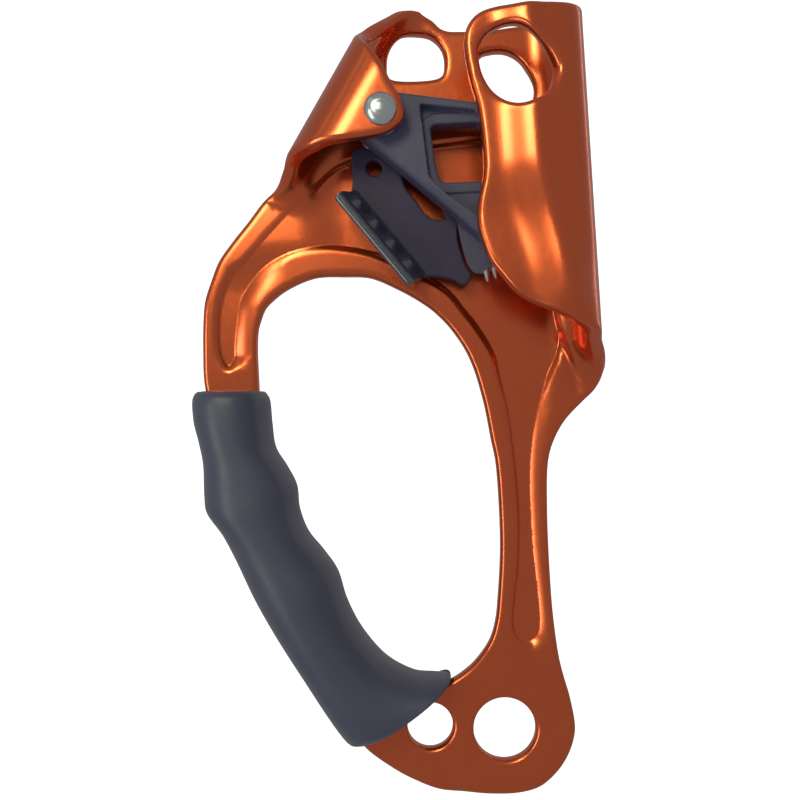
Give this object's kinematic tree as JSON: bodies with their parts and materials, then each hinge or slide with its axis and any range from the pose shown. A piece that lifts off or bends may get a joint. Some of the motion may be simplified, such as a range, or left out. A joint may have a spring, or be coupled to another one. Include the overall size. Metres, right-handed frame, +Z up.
{
  "type": "handled rope ascender",
  "caption": "Handled rope ascender: folded sheet frame with a rope channel, sprung toothed cam with a thumb catch, rubber grip and attachment holes.",
  "frame": {"origin": "on the axis of the rope in its channel, level with the toothed cam's lower half", "axes": "+Z up along the rope; +Y away from the user's side, through the sheet from the cam side to its flat back; +X from the hand grip to the rope"},
  "size_m": [0.1035, 0.0377, 0.1982],
  "materials": {
    "anodised": "satin copper-orange anodised",
    "rubber": "matte moulded",
    "coated": "matte coated steel",
    "zinc": "zinc plated",
    "spring": "drawn wire"
  },
  "bodies": {
    "frame": {"frame": "anodised", "grip": "rubber", "cam_rivet": "zinc", "rivet_washer": "zinc", "front_washer": "zinc", "rear_washer": "zinc", "cam_spring": "spring"},
    "cam": {"cam": "coated", "cam_bush": "zinc", "catch_pin": "zinc", "catch_spring": "spring"},
    "catch": {"catch": "coated"}
  },
  "joints": [
    {"name": "cam_pivot", "type": "hinge", "parent": "frame", "child": "cam", "pos_m": [-0.0372, 0, 0.0205], "axis": [0, 1, 0], "range_deg": [0, 26], "stiffness_Nm_per_rad": 0.08, "springref_deg": -28.65, "deforming": ["cam_spring"]},
    {"name": "catch_pivot", "type": "hinge", "parent": "cam", "child": "catch", "pos_m": [-0.0213, 0, 0.0008], "axis": [0, 1, 0], "range_deg": [-40, 0], "stiffness_Nm_per_rad": 0.02, "springref_deg": 22.92, "deforming": ["catch_spring"]}
  ]
}
